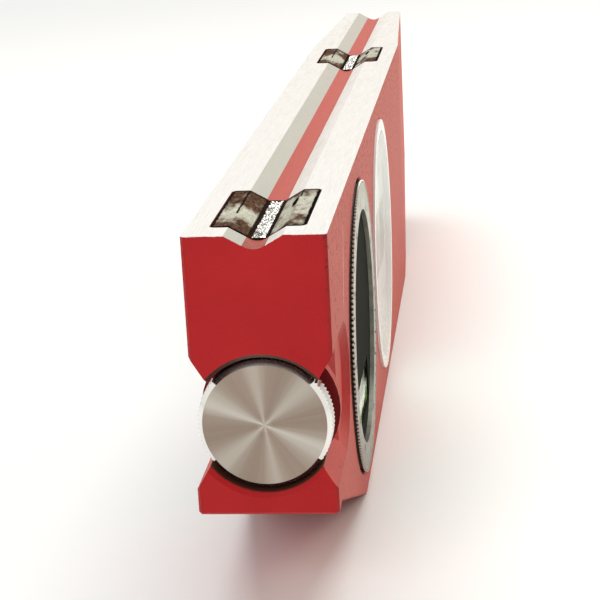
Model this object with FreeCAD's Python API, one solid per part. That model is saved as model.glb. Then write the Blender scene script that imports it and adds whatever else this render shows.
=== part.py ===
# Torpedo level: a red anodised aluminium billet with a V-grooved magnetic
# working face, a protractor dial that turns through a full circle, a fixed level vial
# and a thumb screw that brakes the dial. Millimetres. X is the thickness, Y runs along
# the level from the thumb-screw end to the tapered nose, Z points up to the grooved
# face. The origin is the centre of the lower edge.
import FreeCAD, Part
import math
import os
from FreeCAD import Vector

# Body outline
LENGTH = 250.0
WIDTH = 20.0
HEIGHT = 57.0
END_LIFT = 16.4        # how far the lower edge is raised at both ends
END_FLAT = 5.0         # level stretch under each raised end
SLOPE_RUN = 41.5       # length of the slope from a raised end down to the lower edge
NOSE_LENGTH = 67.0     # tapered stretch at the far end
NOSE_WIDTH = 14.4
EDGE_BREAK = 0.4       # chamfer on the outer edges

# Groove along the working face
GROOVE_HALF = 4.06
GROOVE_FOOT_HALF = 1.6
GROOVE_DEPTH = 1.4
RELIEF_DEPTH = 1.94

# Round windows for the dial and the level unit
WINDOW_WALL = 4.0      # metal left over and under a window
WINDOW_CHAMFER = 0.25
DIAL_FROM_END = 50.7
LEVEL_FROM_END = 105.5
RIB_HALF = 3.5         # rib left at mid thickness inside each window
RIB_DEPTH = 1.7
UNIT_FIT = 0.1         # radial clearance inside the rib and round the level unit
RIM_GAP = 0.3          # radial gap round the rims of the dial
AXIAL_FIT = 0.1

# Thumb screw and brake
KNOB_RISE = 1.1        # knob axis above the centre of the dial
KNOB_BORE_R = 10.0
KNOB_BORE_DEPTH = 8.0
KNOB_BORE_CHAMFER = 0.6
KNOB_R = 9.55
KNOB_FACE_R = 8.75
KNOB_SINK = 0.7        # face of the knob below the end of the body, screwed home
KNOB_THICK = 3.4
KNOB_CHAMFER = 0.8
KNOB_TEETH = 96
KNOB_TOOTH = 0.24
KNOB_HUB_R = 4.2
KNOB_HUB_LENGTH = 2.2
STUD_R = 2.5
STUD_SEAT = 2.2        # how deep the stud sits in the knob
BUSH_WALL = 0.9
BUSH_LENGTH = 9.9
THREAD_FIT = 0.05
PLUNGER_R = 2.4
PLUNGER_FIT = 0.1
PAD_LENGTH = 1.6
BRAKE_GAP = 0.1
STUD_GAP = 0.05        # stud to plunger, screwed home

# Waist pockets that bare the rim of the knob on both sides
WAIST_RISE = 0.5       # centre of a pocket above the axis of the knob
WAIST_HALF = 9.8
WAIST_DEPTH = 1.1
WAIST_END = 14.7       # centre of the round end, from the end of the body
WAIST_DRAFT = 1.65     # run of the sloping wall for each millimetre of depth
WAIST_FRONT_DEPTH = 3.0  # depth beside the knob, where the bore breaks through
COLLAR_LENGTH = 2.0    # collar left standing round the mouth of the bush
WAIST_RAMP = 4.0       # run of the floor from the front depth up to the rest

# Magnet inserts
NEAR_MAGNET_START = 4.8
FAR_MAGNET_START = 157.0
POCKET_WIDTH = 13.6
POCKET_LENGTH = 23.2
POCKET_DEPTH = 6.0
POCKET_CORNER = 1.0
RESIN_GAP = 0.4
POLE_INNER = 1.6
MAGNET_HALF = 0.95
MAGNET_TOP_DEPTH = 1.5
RESIN_SINK = 0.25

# Dial
RIM_TEETH = 180
RIM_TOOTH = 0.35
RIM_LENGTH = 0.5       # knurled stretch next to the face
RIM_NECK = 0.6         # how much smaller the ring is behind its knurled rim
DIAL_PROUD = 0.6       # how far the dial stands out of each side of the body
FACE_WIDTH = 4.8       # breadth of the graduated face
HUB_FIT = 0.05
HUB_SINK = 0.8
MARK_STEP = 5          # degrees between two graduations
MARK_WIDTH = 0.32
MARK_DEPTH = 0.15
LONG_MARK = 2.4
SHORT_MARK = 1.2
MARK_MARGIN = 0.35
FACE_SINK = 0.05       # turned recess that keeps the marks below the edge of the face

# Block vials
HUB_WALL = 1.0         # plastic left between the vial's corners and the edge of the hub
DIAL_VIAL_LENGTH = 19.0
DIAL_VIAL_HEIGHT = 7.4
DIAL_VIAL_SINK = 0.3
LEVEL_VIAL_LENGTH = 38.0
LEVEL_VIAL_HEIGHT = 12.0
VIAL_WALL = 1.1
BARREL_SWELL = 0.15    # how much wider the barrel bore is at its middle
VIAL_END_WALL = 1.6
PLUG_R = 1.1
BUBBLE_SHARE = 0.44    # bubble radius as a share of the bore radius
BUBBLE_LENGTH = 3.4
LEVEL_BUBBLE_LENGTH = 6.5
SLOT_FIT = 0.05

# Level unit
HOUSING_PROUD = 0.4
LENS_RIM = 2.3         # breadth of the white rim round a lens
LENS_THICK = 1.2
LENS_FIT = 0.1
SCREW_INSET = 5.5      # screw centres inside the edge of the lens
SCREW_ANGLES = (50.0, 130.0, 230.0, 310.0)
SCREW_R = 1.2
SCREW_HEAD_R = 2.2
SCREW_HEAD_LENGTH = 1.4
SCREW_REACH = 6.0      # thread length in the second half
SCREW_FIT = 0.1
SLOT_WIDTH = 0.6
SLOT_DEPTH = 0.5

HALF = WIDTH / 2
WINDOW_Z = HEIGHT / 2
WINDOW_R = HEIGHT / 2 - WINDOW_WALL
KNOB_Z = WINDOW_Z + KNOB_RISE
WAIST_Z = KNOB_Z + WAIST_RISE
NEAR_Y = -LENGTH / 2
FAR_Y = LENGTH / 2
DIAL_Y = NEAR_Y + DIAL_FROM_END
LEVEL_Y = NEAR_Y + LEVEL_FROM_END
RIB_R = WINDOW_R - RIB_DEPTH
UNIT_R = WINDOW_R - UNIT_FIT
FLANGE_R = RIB_R - UNIT_FIT
FLANGE_HALF = RIB_HALF + AXIAL_FIT
FACE_X = HALF + DIAL_PROUD
RIM_R = WINDOW_R - RIM_GAP
FACE_INNER_R = RIM_R - FACE_WIDTH
HUB_R = FACE_INNER_R - HUB_FIT
DIAL_VIAL_DROP = (math.sqrt((HUB_R - HUB_WALL) ** 2 - DIAL_VIAL_LENGTH ** 2 / 4)
                  - DIAL_VIAL_HEIGHT / 2)
LENS_R = UNIT_R - LENS_RIM
SCREW_CIRCLE = LENS_R - SCREW_INSET
KNOB_FACE_Y = NEAR_Y + KNOB_SINK
KNOB_BACK_Y = KNOB_FACE_Y + KNOB_THICK
BORE_FLOOR_Y = NEAR_Y + KNOB_BORE_DEPTH
BUSH_END_Y = BORE_FLOOR_Y + BUSH_LENGTH
BUSH_R = STUD_R + THREAD_FIT + BUSH_WALL
OVER = 1.0             # how far a cutting tool runs past the face that it opens
X_AXIS = Vector(1, 0, 0)
Y_AXIS = Vector(0, 1, 0)


def box(x0, x1, y0, y1, z0, z1):
    """Block between two opposite corners."""
    return Part.makeBox(x1 - x0, y1 - y0, z1 - z0, Vector(x0, y0, z0))


def disc(radius, x0, x1, y, z):
    """Cylinder along X between two planes."""
    return Part.makeCylinder(radius, x1 - x0, Vector(x0, y, z), X_AXIS)


def rod(radius, y0, y1, x=0.0, z=KNOB_Z):
    """Cylinder along Y between two planes."""
    return Part.makeCylinder(radius, y1 - y0, Vector(x, y0, z), Y_AXIS)


def prism(points, direction):
    """Closed outline pushed along a direction."""
    outline = [Vector(*point) for point in points]
    return Part.Face(Part.makePolygon(outline + outline[:1])).extrude(Vector(*direction))


def mirrored(shape):
    """The same shape on the other side of the middle plane."""
    return shape.mirror(Vector(0, 0, 0), X_AXIS)


def toothed(crest, tooth, count, place, start, direction):
    """Knurled disc: a ring of sharp teeth, with place(radius, angle) giving each point."""
    points = []
    for index in range(count):
        angle = 2 * math.pi * index / count
        half = math.pi / count
        points.append(place(crest, angle, start))
        points.append(place(crest - tooth, angle + half, start))
    return prism(points, direction)


def save(name, shape):
    """Write one sub-part, checked to be a valid solid."""
    if not shape.isValid() or not shape.Solids:
        raise ValueError(name + " is not a valid solid")
    shape.exportStep("parts/" + name + ".step")


def groove_depth(x):
    """Depth of the V flank under the working face at a distance from the middle."""
    share = (GROOVE_HALF - abs(x)) / (GROOVE_HALF - GROOVE_FOOT_HALF)
    return GROOVE_DEPTH * min(max(share, 0.0), 1.0)


def side_outline():
    """Body seen from the side, one corner after the other."""
    foot = LENGTH / 2 - END_FLAT - SLOPE_RUN
    knee = LENGTH / 2 - END_FLAT
    right = [(foot, 0.0), (knee, END_LIFT), (FAR_Y, END_LIFT), (FAR_Y, HEIGHT)]
    left = [(-y, z) for y, z in reversed(right)]
    return [(-HALF, y, z) for y, z in right + left]


def nose_wedge():
    """What the taper takes off the right side of the nose."""
    start = FAR_Y - NOSE_LENGTH
    slope = (WIDTH - NOSE_WIDTH) / 2 / NOSE_LENGTH
    tip = HALF - slope * (NOSE_LENGTH + OVER)
    points = [(HALF, start, -OVER), (HALF + OVER, start, -OVER),
              (HALF + OVER, FAR_Y + OVER, -OVER), (tip, FAR_Y + OVER, -OVER)]
    return prism(points, (0, 0, HEIGHT + 2 * OVER))


def groove():
    """V-groove with a round-bottomed relief along its foot."""
    rise = GROOVE_DEPTH / (GROOVE_HALF - GROOVE_FOOT_HALF) * OVER
    y = NEAR_Y - OVER
    top = HEIGHT + rise
    foot = HEIGHT - GROOVE_DEPTH
    floor = Vector(0, y, HEIGHT - RELIEF_DEPTH)
    left = Vector(-GROOVE_FOOT_HALF, y, foot)
    right = Vector(GROOVE_FOOT_HALF, y, foot)
    corner_left = Vector(-GROOVE_HALF - OVER, y, top)
    corner_right = Vector(GROOVE_HALF + OVER, y, top)
    edges = [Part.LineSegment(corner_left, left).toShape(),
             Part.Arc(left, floor, right).toShape(),
             Part.LineSegment(right, corner_right).toShape(),
             Part.LineSegment(corner_right, corner_left).toShape()]
    return Part.Face(Part.Wire(edges)).extrude(Vector(0, LENGTH + 2 * OVER, 0))


def magnet_pocket(start):
    """Round-cornered pocket for one magnet insert, open at the working face."""
    y0 = NEAR_Y + start
    half = POCKET_WIDTH / 2
    pocket = box(-half, half, y0, y0 + POCKET_LENGTH, HEIGHT - POCKET_DEPTH, HEIGHT + OVER)
    upright = [edge for edge in pocket.Edges
               if edge.BoundBox.ZLength > POCKET_DEPTH]
    return pocket.makeFillet(POCKET_CORNER, upright)


def waist_flanks():
    """Trough with drafted flanks along the whole pocket, as deep as its front."""
    floor = HALF - WAIST_FRONT_DEPTH
    outer = HALF + OVER
    floor_half = WAIST_HALF - WAIST_DRAFT * WAIST_FRONT_DEPTH
    outer_half = WAIST_HALF + WAIST_DRAFT * OVER
    y = NEAR_Y - OVER
    points = [(floor, y, WAIST_Z - floor_half), (outer, y, WAIST_Z - outer_half),
              (outer, y, WAIST_Z + outer_half), (floor, y, WAIST_Z + floor_half)]
    return prism(points, (0, WAIST_END + OVER, 0))


def waist_pocket():
    """Drafted pocket in the right side that bares the rim of the knob."""
    floor = HALF - WAIST_DEPTH
    front = HALF - WAIST_FRONT_DEPTH
    outer = HALF + OVER
    ramp_y = BORE_FLOOR_Y + COLLAR_LENGTH
    end_y = NEAR_Y + WAIST_END
    points = [(front, NEAR_Y - OVER, 0), (front, ramp_y, 0), (floor, ramp_y + WAIST_RAMP, 0),
              (floor, end_y, 0), (outer, end_y, 0), (outer, NEAR_Y - OVER, 0)]
    trough = prism(points, (0, 0, HEIGHT)).common(waist_flanks())
    end = Part.makeCone(WAIST_HALF - WAIST_DRAFT * WAIST_DEPTH, WAIST_HALF + WAIST_DRAFT * OVER,
                        WAIST_DEPTH + OVER, Vector(floor, end_y, WAIST_Z), X_AXIS)
    return trough.fuse(end)


def collar():
    """Round collar behind the knob, as wide as its bore, cut off at the sides."""
    ring = rod(KNOB_BORE_R, BORE_FLOOR_Y, BORE_FLOOR_Y + COLLAR_LENGTH)
    y0 = BORE_FLOOR_Y - OVER
    return ring.common(box(-HALF, HALF, y0, y0 + COLLAR_LENGTH + 2 * OVER, 0, HEIGHT))


def window(y):
    """Round window: a bore from each side and a rib between them."""
    bore = disc(WINDOW_R, RIB_HALF, HALF + OVER, y, WINDOW_Z)
    mouth = Part.makeCone(WINDOW_R, WINDOW_R + WINDOW_CHAMFER + OVER, WINDOW_CHAMFER + OVER,
                          Vector(HALF - WINDOW_CHAMFER, y, WINDOW_Z), X_AXIS)
    right = bore.fuse(mouth)
    middle = disc(RIB_R, -RIB_HALF - OVER, RIB_HALF + OVER, y, WINDOW_Z)
    return right.fuse([mirrored(right), middle])


def knob_bores():
    """Bore of the knob with its chamfer, then the holes of bush and plunger."""
    bore = rod(KNOB_BORE_R, NEAR_Y - OVER, BORE_FLOOR_Y)
    mouth = Part.makeCone(KNOB_BORE_R + KNOB_BORE_CHAMFER + OVER, KNOB_BORE_R,
                          KNOB_BORE_CHAMFER + OVER, Vector(0, NEAR_Y - OVER, KNOB_Z), Y_AXIS)
    bush = rod(BUSH_R, BORE_FLOOR_Y - OVER, BUSH_END_Y)
    plunger = rod(PLUNGER_R + PLUNGER_FIT, BUSH_END_Y - OVER, DIAL_Y - RIB_R + OVER)
    return bore.fuse([mouth, bush, plunger])


def make_body():
    """Billet with groove, pockets, windows, bores and tapered nose."""
    body = prism(side_outline(), (WIDTH, 0, 0))
    wedge = nose_wedge()
    body = body.cut([wedge, mirrored(wedge)]).removeSplitter()
    outer = [edge for edge in body.Edges if edge.BoundBox.ZMin < HEIGHT - EDGE_BREAK]
    body = body.makeChamfer(EDGE_BREAK, outer)
    waist = waist_pocket()
    body = body.cut([waist, mirrored(waist)]).fuse(collar())
    cuts = [groove(), knob_bores(), window(DIAL_Y), window(LEVEL_Y)]
    cuts += [magnet_pocket(NEAR_MAGNET_START), magnet_pocket(FAR_MAGNET_START)]
    return body.cut(cuts)


def make_pole(start):
    """Right steel pole of a magnet insert, flush with the flat and the flank."""
    y0 = NEAR_Y + start + RESIN_GAP
    outer = POCKET_WIDTH / 2 - RESIN_GAP
    base = HEIGHT - POCKET_DEPTH
    points = [(POLE_INNER, y0, base), (outer, y0, base), (outer, y0, HEIGHT),
              (GROOVE_HALF, y0, HEIGHT),
              (POLE_INNER, y0, HEIGHT - groove_depth(POLE_INNER))]
    return prism(points, (0, POCKET_LENGTH - 2 * RESIN_GAP, 0))


def make_magnet(start):
    """Magnet bar standing between the poles under the foot of the groove."""
    y0 = NEAR_Y + start + RESIN_GAP
    y1 = NEAR_Y + start + POCKET_LENGTH - RESIN_GAP
    top = HEIGHT - MAGNET_TOP_DEPTH
    return box(-MAGNET_HALF, MAGNET_HALF, y0, y1, HEIGHT - POCKET_DEPTH, top)


def make_resin(start):
    """Resin that fills what the poles and the magnet leave of the pocket."""
    flat = HEIGHT - RESIN_SINK
    foot = flat - GROOVE_DEPTH
    base = HEIGHT - POCKET_DEPTH - OVER
    half = POCKET_WIDTH / 2 + OVER
    y0 = NEAR_Y + start - OVER
    top = [(half, y0, base), (half, y0, flat), (GROOVE_HALF, y0, flat),
           (GROOVE_FOOT_HALF, y0, foot)]
    outline = top + [(-x, y, z) for x, y, z in reversed(top)]
    fill = magnet_pocket(start).common(prism(outline, (0, POCKET_LENGTH + 2 * OVER, 0)))
    pole = make_pole(start)
    return fill.cut([pole, mirrored(pole), make_magnet(start)])


def make_knob():
    """Thumb screw head: turned face, polished chamfer, knurled rim and a hub behind."""
    widening = (KNOB_R - KNOB_FACE_R) / KNOB_CHAMFER
    chamfer = Part.makeCone(KNOB_FACE_R, KNOB_FACE_R + widening * KNOB_THICK, KNOB_THICK,
                            Vector(0, KNOB_FACE_Y, KNOB_Z), Y_AXIS)

    def place(radius, angle, y):
        return (radius * math.cos(angle), y, KNOB_Z + radius * math.sin(angle))

    rim = toothed(KNOB_R, KNOB_TOOTH, KNOB_TEETH, place, KNOB_FACE_Y, (0, KNOB_THICK, 0))
    hub = rod(KNOB_HUB_R, KNOB_BACK_Y - OVER, KNOB_BACK_Y + KNOB_HUB_LENGTH)
    seat = rod(STUD_R, stud_start(), KNOB_BACK_Y + KNOB_HUB_LENGTH + OVER)
    return rim.common(chamfer).fuse(hub).cut(seat)


def stud_start():
    """Where the stud begins inside the knob."""
    return KNOB_BACK_Y - STUD_SEAT


def brake_tip():
    """Where the brake pad ends, just clear of the flange of the dial."""
    return DIAL_Y - FLANGE_R - BRAKE_GAP


def plunger_start():
    """Where the plunger begins, behind the threaded bush."""
    return BUSH_END_Y + 2 * OVER


def make_stud():
    """Threaded stud, drawn at its outer diameter, pressed into the knob."""
    return rod(STUD_R, stud_start(), plunger_start() - STUD_GAP)


def make_bush():
    """Threaded bush pressed into the body behind the knob."""
    bore = rod(STUD_R + THREAD_FIT, BORE_FLOOR_Y - OVER, BUSH_END_Y + OVER)
    return rod(BUSH_R, BORE_FLOOR_Y, BUSH_END_Y).cut(bore)


def make_plunger():
    """Steel plunger that slides without turning and carries the pad."""
    return rod(PLUNGER_R, plunger_start(), brake_tip() - PAD_LENGTH)


def make_pad():
    """Nylon pad that presses on the flange of the dial."""
    return rod(PLUNGER_R, brake_tip() - PAD_LENGTH, brake_tip())


def mark(angle):
    """Groove of one graduation across the right face of the dial."""
    length = LONG_MARK if angle % (2 * MARK_STEP) == 0 else SHORT_MARK
    outer = WINDOW_Z + RIM_R - RIM_TOOTH - MARK_MARGIN
    tool = box(FACE_X - MARK_DEPTH, FACE_X + OVER, DIAL_Y - MARK_WIDTH / 2,
               DIAL_Y + MARK_WIDTH / 2, outer - length, outer)
    tool.rotate(Vector(0, DIAL_Y, WINDOW_Z), X_AXIS, angle)
    return tool


def make_ring():
    """Right ring of the dial: plain shank, knurled rim, graduated face."""
    rim_x = FACE_X - RIM_LENGTH
    shank = disc(RIM_R - RIM_NECK, FLANGE_HALF, rim_x, DIAL_Y, WINDOW_Z)

    def place(radius, angle, x):
        return (x, DIAL_Y + radius * math.cos(angle), WINDOW_Z + radius * math.sin(angle))

    rim = toothed(RIM_R, RIM_TOOTH, RIM_TEETH, place, rim_x, (RIM_LENGTH, 0, 0))
    eye = disc(FACE_INNER_R, 0, FACE_X + OVER, DIAL_Y, WINDOW_Z)
    recess = disc(RIM_R - RIM_TOOTH - MARK_MARGIN / 2, FACE_X - FACE_SINK, FACE_X + OVER,
                  DIAL_Y, WINDOW_Z)
    ring = shank.fuse(rim).cut([eye, recess])
    return ring.cut([mark(angle) for angle in range(0, 360, MARK_STEP)])


def block(half_x, length, height, y, z, fit=0.0):
    """Block centred on a vial, grown by a fit."""
    half_y = length / 2 + fit
    half_z = height / 2 + fit
    return box(-half_x, half_x, y - half_y, y + half_y, z - half_z, z + half_z)


def make_hub():
    """Black hub of the dial: a flange behind the rib, and a slot for the vial."""
    outer_x = FACE_X - HUB_SINK
    hub = disc(HUB_R, -outer_x, outer_x, DIAL_Y, WINDOW_Z)
    flange = disc(FLANGE_R, -FLANGE_HALF, FLANGE_HALF, DIAL_Y, WINDOW_Z)
    slot = block(outer_x + OVER, DIAL_VIAL_LENGTH, DIAL_VIAL_HEIGHT, DIAL_Y,
                 WINDOW_Z - DIAL_VIAL_DROP, SLOT_FIT)
    return hub.fuse(flange).cut(slot)


def barrel(length, height, y, z):
    """Barrel-shaped bore of a vial: the arc of a slight swell turned about its axis."""
    middle_r = height / 2 - VIAL_WALL
    end_r = middle_r - BARREL_SWELL
    half = length / 2 - VIAL_END_WALL
    start = Vector(0, y - half, z)
    end = Vector(0, y + half, z)
    rise = Vector(0, 0, end_r)
    edges = [Part.LineSegment(start, start + rise).toShape(),
             Part.Arc(start + rise, Vector(0, y, z + middle_r), end + rise).toShape(),
             Part.LineSegment(end + rise, end).toShape(),
             Part.LineSegment(end, start).toShape()]
    return Part.Face(Part.Wire(edges)).revolve(start, Y_AXIS, 360)


def make_bubble(length, height, y, z):
    """Bubble at the top of the bore: a short rod with round ends."""
    bore_r = height / 2 - VIAL_WALL
    radius = BUBBLE_SHARE * bore_r
    reach = length / 2 - radius
    centre = z + bore_r - radius - BARREL_SWELL / 2
    middle = rod(radius, y - reach, y + reach, 0.0, centre)
    ends = [Part.makeSphere(radius, Vector(0, y + side * reach, centre)) for side in (-1, 1)]
    return middle.fuse(ends).removeSplitter()


def vial_pieces(half_x, length, height, y, z, bubble_length):
    """Block, liquid, bubble and filler plug of one vial."""
    bore = barrel(length, height, y, z)
    end = y + length / 2
    filler = rod(PLUG_R, end - VIAL_END_WALL, end, 0.0, z)
    clear = block(half_x, length, height, y, z).cut([bore, filler])
    bubble = make_bubble(bubble_length, height, y, z)
    return clear, bore.cut(bubble), bubble, filler


def screw_places():
    """Centres of the housing screws in the level window."""
    for angle in SCREW_ANGLES:
        turn = math.radians(angle)
        yield (LEVEL_Y + SCREW_CIRCLE * math.cos(turn), WINDOW_Z + SCREW_CIRCLE * math.sin(turn))


def lens_seat_x():
    """Plane on which a lens of the level unit rests."""
    return HALF + HOUSING_PROUD - LENS_THICK


def level_slot():
    """Slot through both housing halves for the level vial."""
    return block(lens_seat_x(), LEVEL_VIAL_LENGTH, LEVEL_VIAL_HEIGHT, LEVEL_Y, WINDOW_Z,
                 SLOT_FIT)


def make_housing():
    """Right half of the white housing: body, spigot in the rib, seat of the lens."""
    face = HALF + HOUSING_PROUD
    half = disc(UNIT_R, FLANGE_HALF, face, LEVEL_Y, WINDOW_Z)
    spigot = disc(FLANGE_R, 0, FLANGE_HALF, LEVEL_Y, WINDOW_Z)
    seat = disc(LENS_R + LENS_FIT, lens_seat_x(), HALF + OVER, LEVEL_Y, WINDOW_Z)
    return half.fuse(spigot).cut([seat, level_slot()])


def make_housing_right():
    """Right half with a counterbored clearance hole for each screw."""
    head_x = lens_seat_x() - SCREW_HEAD_LENGTH
    holes = []
    for y, z in screw_places():
        holes.append(disc(SCREW_R + SCREW_FIT, -OVER, HALF, y, z))
        holes.append(disc(SCREW_HEAD_R + SCREW_FIT, head_x, HALF, y, z))
    return make_housing().cut(holes)


def make_housing_left():
    """Left half with the blind holes that the screws bite into."""
    holes = [disc(SCREW_R, -SCREW_REACH, OVER, y, z) for y, z in screw_places()]
    return mirrored(make_housing()).cut(holes)


def make_screws():
    """Slotted screws that pull the housing halves together on the rib."""
    top = lens_seat_x()
    head_x = top - SCREW_HEAD_LENGTH
    screws = []
    for y, z in screw_places():
        shank = disc(SCREW_R, -SCREW_REACH, head_x, y, z)
        head = disc(SCREW_HEAD_R, head_x, top, y, z)
        slot = box(top - SLOT_DEPTH, top + OVER, y - SCREW_HEAD_R, y + SCREW_HEAD_R,
                   z - SLOT_WIDTH / 2, z + SLOT_WIDTH / 2)
        screws.append(shank.fuse(head).cut(slot))
    return Part.makeCompound(screws)


def make_lens():
    """Clear cover of the level unit on the right side."""
    seat = lens_seat_x()
    return disc(LENS_R, seat, seat + LENS_THICK, LEVEL_Y, WINDOW_Z)


def main():
    """Build every sub-part and write it."""
    os.makedirs("parts", exist_ok=True)
    save("body", make_body())
    for name, start in (("near", NEAR_MAGNET_START), ("far", FAR_MAGNET_START)):
        pole = make_pole(start)
        save(name + "_pole_right", pole)
        save(name + "_pole_left", mirrored(pole))
        save(name + "_magnet", make_magnet(start))
        save(name + "_resin", make_resin(start))
    save("thumb_knob", make_knob())
    save("knob_stud", make_stud())
    save("stud_bush", make_bush())
    save("brake_plunger", make_plunger())
    save("brake_pad", make_pad())
    ring = make_ring()
    save("dial_ring_right", ring)
    save("dial_ring_left", mirrored(ring))
    save("dial_hub", make_hub())
    dial_half = FACE_X - HUB_SINK - DIAL_VIAL_SINK
    dial_vial = vial_pieces(dial_half, DIAL_VIAL_LENGTH, DIAL_VIAL_HEIGHT, DIAL_Y,
                            WINDOW_Z - DIAL_VIAL_DROP, BUBBLE_LENGTH)
    level_vial = vial_pieces(lens_seat_x(), LEVEL_VIAL_LENGTH, LEVEL_VIAL_HEIGHT, LEVEL_Y,
                             WINDOW_Z, LEVEL_BUBBLE_LENGTH)
    for unit, pieces in (("dial", dial_vial), ("level", level_vial)):
        for kind, piece in zip(("vial", "liquid", "bubble", "plug"), pieces):
            save(unit + "_" + kind, piece)
    save("level_housing_right", make_housing_right())
    save("level_housing_left", make_housing_left())
    save("level_screws", make_screws())
    lens = make_lens()
    save("level_lens_right", lens)
    save("level_lens_left", mirrored(lens))


main()
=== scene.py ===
# %% [markdown]
# # A machined torpedo level
#
# The level is an aluminium billet, anodised red, whose grooved working face is ground
# bare again. A turned thumb screw in the near end brakes a protractor dial, and a white
# unit in the second window holds the level vial. The CAD frame already carries the
# machined form, so this lesson dresses it: finishes, liquid, bubbles, printed numbers,
# the rough magnet bars and the clear covers.

# %% Frame
import math

import bmesh
import bpy
import numpy as np
from mathutils import Matrix, Vector


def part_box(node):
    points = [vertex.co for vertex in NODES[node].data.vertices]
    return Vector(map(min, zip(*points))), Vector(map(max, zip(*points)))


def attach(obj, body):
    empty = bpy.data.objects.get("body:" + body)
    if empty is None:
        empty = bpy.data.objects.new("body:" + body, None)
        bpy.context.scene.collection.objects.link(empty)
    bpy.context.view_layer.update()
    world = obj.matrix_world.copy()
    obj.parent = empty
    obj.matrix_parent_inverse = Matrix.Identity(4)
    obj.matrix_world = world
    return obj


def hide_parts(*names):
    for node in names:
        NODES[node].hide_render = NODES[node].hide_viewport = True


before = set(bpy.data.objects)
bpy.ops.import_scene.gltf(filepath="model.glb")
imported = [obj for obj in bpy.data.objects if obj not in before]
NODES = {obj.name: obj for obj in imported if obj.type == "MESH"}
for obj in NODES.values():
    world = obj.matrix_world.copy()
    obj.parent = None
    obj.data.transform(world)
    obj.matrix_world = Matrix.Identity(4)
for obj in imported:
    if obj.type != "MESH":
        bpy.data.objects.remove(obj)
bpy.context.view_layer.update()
MM = 0.001

# %% [markdown]
# ## Sizes read from the frame
#
# A finish has to know where it is: the ground face ends at the groove, and the dial's
# marks are black only inside the engraving. Those places come from the boxes of the CAD
# nodes, so that they follow the part. Only sizes that a box can't tell are named here.

# %% Sizes
body_low, body_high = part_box("body")
ring_low, ring_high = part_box("dial_ring_right")
knob_low, knob_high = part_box("thumb_knob")

WORKING_Z = body_high.z
NEAR_Y = body_low.y
HALF_WIDTH = body_high.x
DIAL_Y = (ring_low.y + ring_high.y) / 2
DIAL_Z = (ring_low.z + ring_high.z) / 2
DIAL_R = (ring_high.z - ring_low.z) / 2
DIAL_FACE_X = ring_high.x
KNOB_Z = (knob_low.z + knob_high.z) / 2
KNOB_FACE_Y = knob_low.y
GROOVE_HALF = 4.06 * MM
GROOVE_FOOT_HALF = 1.6 * MM
GROOVE_DEPTH = 1.4 * MM
FACE_WIDTH = 4.8 * MM
FACE_SINK = 0.05 * MM
POLE_OUTER = 6.4 * MM
KNOB_CHAMFER = 0.8 * MM
KNOB_BORE_R = 10.0 * MM
print("dial centre in mm:", round(1000 * DIAL_Y, 2), round(1000 * DIAL_Z, 2))

# %% [markdown]
# ## A small vocabulary for shaders
#
# Every finish below is a graph of a few nodes. Writing each link by hand would bury the
# idea under bookkeeping, so a helper adds a node and feeds its sockets in one call: a
# number sets the socket, and another node's output is linked to it.

# %% Shader helper


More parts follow.
